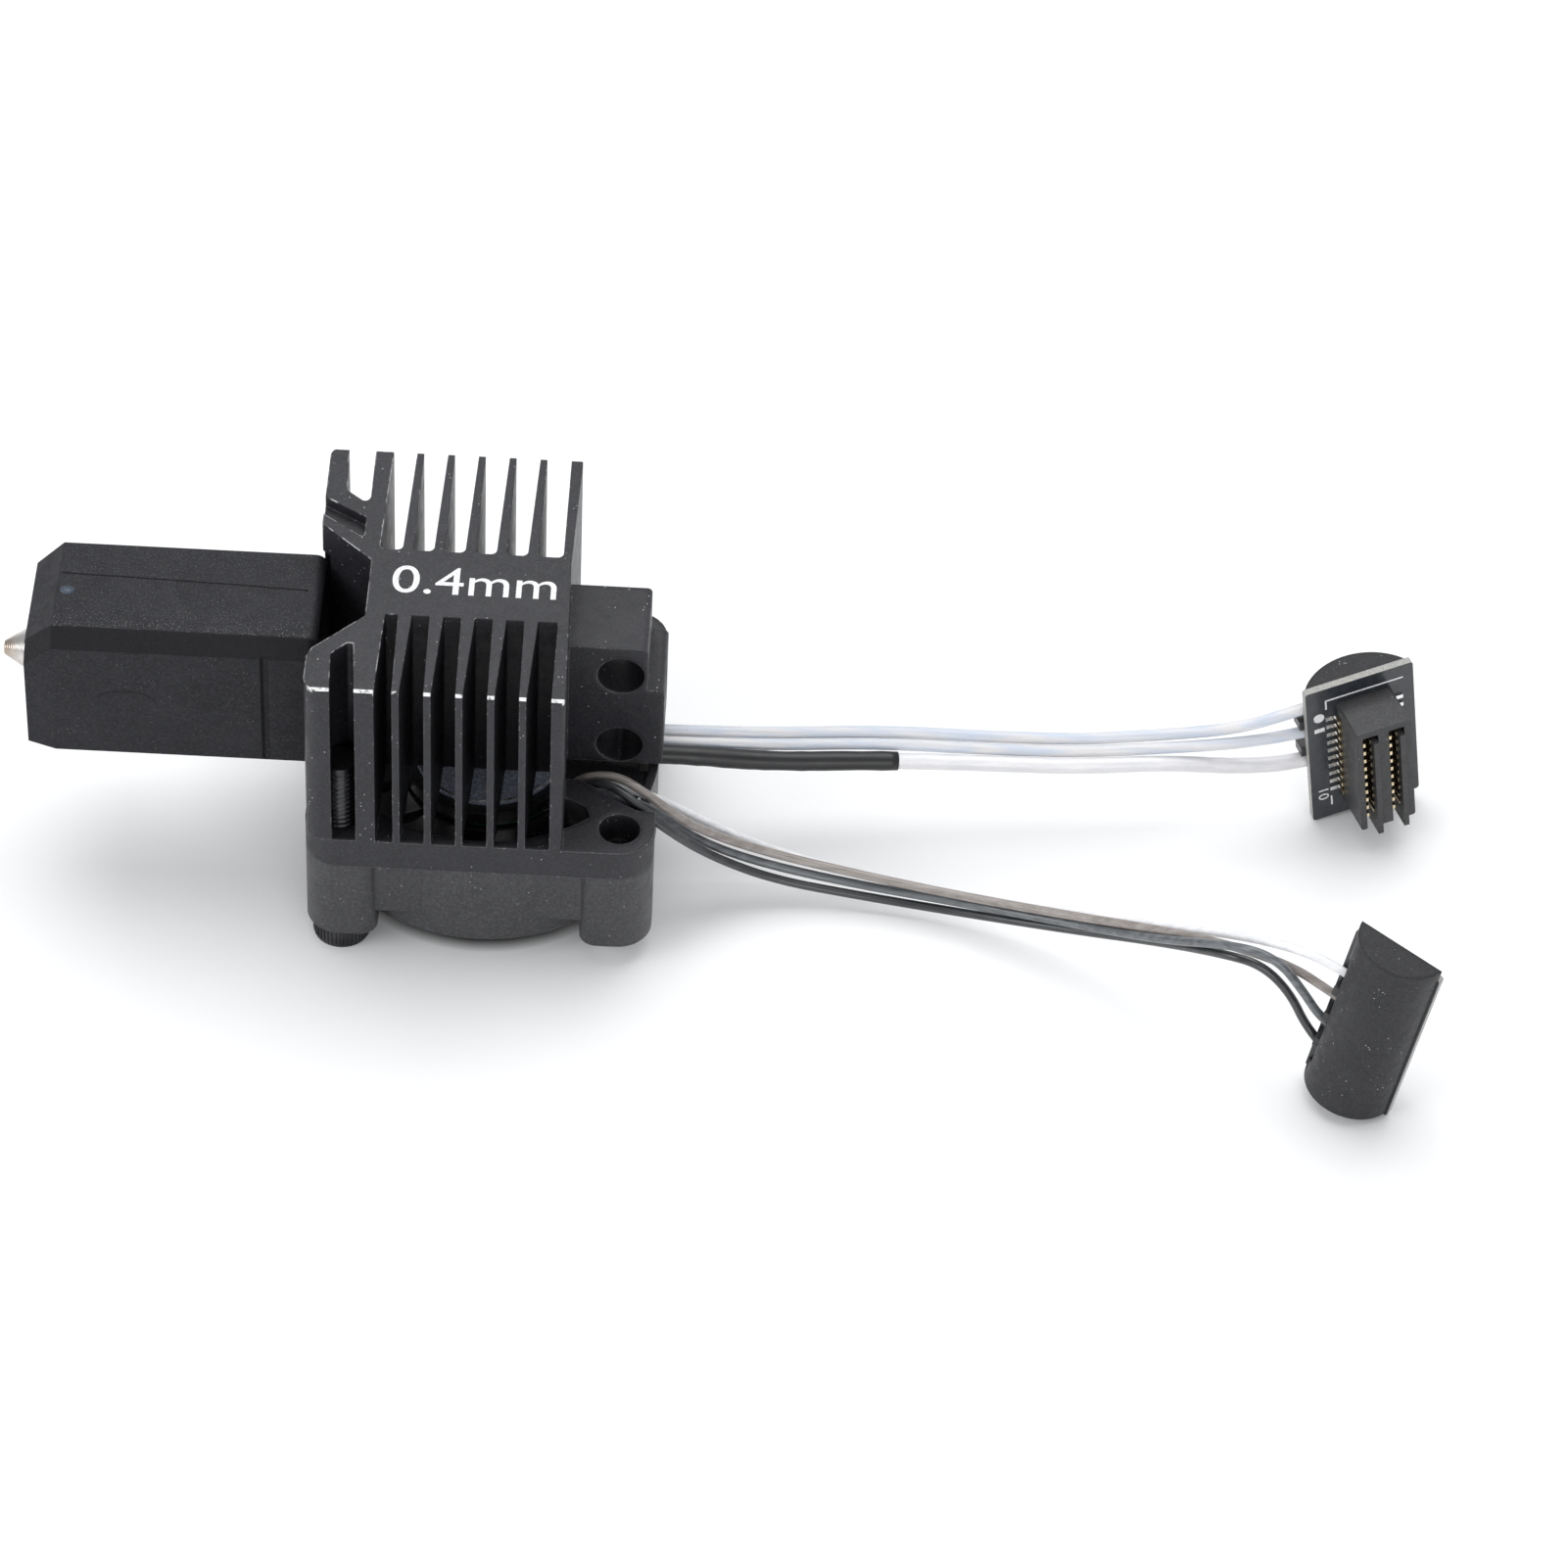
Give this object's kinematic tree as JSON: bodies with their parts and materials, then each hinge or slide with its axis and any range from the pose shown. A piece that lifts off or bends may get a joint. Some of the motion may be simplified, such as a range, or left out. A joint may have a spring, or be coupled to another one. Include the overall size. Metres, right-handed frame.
{
  "type": "hotend assembly",
  "caption": "Desktop 3-D printer hotend: finned black heatsink on a square fan, silicone-socked heater block with nozzle, and heater and fan cables ending in plugs.",
  "frame": {"origin": "bottom centre of the hotend, cables and plugs left out, on the surface that the fan screws' heads stand on", "axes": "+X from the nozzle tip to the filament inlet, +Z from the fan to the heatsink's top"},
  "size_m": [0.104, 0.0371, 0.0267],
  "materials": {
    "black_anodised": "bead-blasted black anodised",
    "steel": "turned",
    "nozzle_steel": "hardened, tip tinted by heat",
    "copper_block": "plated copper",
    "ceramic": "fired ceramic",
    "glass_bead": "glass bead",
    "spring_steel": "spring steel",
    "silicone": "matte with mould grain",
    "fan_plastic": "moulded",
    "label_disc": "slate film",
    "green_board": "solder resist",
    "bronze": "sintered",
    "stator_steel": "laminated",
    "copper_wire": "enamelled winding",
    "rotor_plastic": "moulded",
    "yoke_steel": "drawn",
    "magnet": "bonded ferrite",
    "black_screw": "black oxide",
    "shrink_sleeve": "heat shrink",
    "lead_insulation": "glass fibre",
    "clear_insulation": "clear over silvery strands",
    "white_insulation": "translucent white",
    "white_wire": "insulation",
    "brown_wire": "insulation",
    "grey_wire": "insulation",
    "black_wire": "insulation",
    "black_board": "black solder resist with pale edges",
    "cap_plastic": "fine moulded texture",
    "comb_plastic": "moulded",
    "socket_plastic": "moulded",
    "gold": "gold plated"
  },
  "bodies": {
    "hotend": {"heatsink": "black_anodised", "heat_break": "steel", "nozzle": "nozzle_steel", "heater_block": "copper_block", "ceramic_heater": "ceramic", "thermistor": "glass_bead", "heater_clip": "spring_steel", "fan_frame": "fan_plastic", "fan_label_disc": "label_disc", "fan_circuit_board": "green_board", "fan_bearing": "bronze", "stator_core": "stator_steel", "stator_windings": "copper_wire", "fan_screw_near": "black_screw", "fan_screw_far": "black_screw", "heater_sleeve": "shrink_sleeve", "inner_leads": "lead_insulation", "thermistor_wire_1": "clear_insulation", "thermistor_wire_2": "clear_insulation", "heater_cable": "white_insulation", "fan_wire_white": "white_wire", "fan_wire_brown": "brown_wire", "fan_wire_grey": "grey_wire", "fan_wire_black": "black_wire", "heater_plug_board": "black_board", "heater_plug_cap": "cap_plastic", "heater_plug_comb": "comb_plastic", "heater_plug_socket": "socket_plastic", "heater_plug_contacts": "gold", "fan_plug_board": "black_board", "fan_plug_cap": "cap_plastic", "fan_plug_comb": "comb_plastic", "fan_plug_header": "socket_plastic", "fan_plug_pins": "gold"},
    "sock": {"silicone_sock": "silicone"},
    "rotor": {"fan_rotor": "rotor_plastic", "rotor_yoke": "yoke_steel", "magnet_ring": "magnet", "fan_shaft": "steel"}
  },
  "joints": [
    {"name": "fan_spin", "type": "hinge", "parent": "hotend", "child": "rotor", "pos_m": [0.0111, 0, 0.0023], "axis": [0, 0, 1], "continuous": true},
    {"name": "sock_pull", "type": "slide", "parent": "hotend", "child": "sock", "axis": [-1, 0, 0], "range_m": [0, 0.026]}
  ]
}
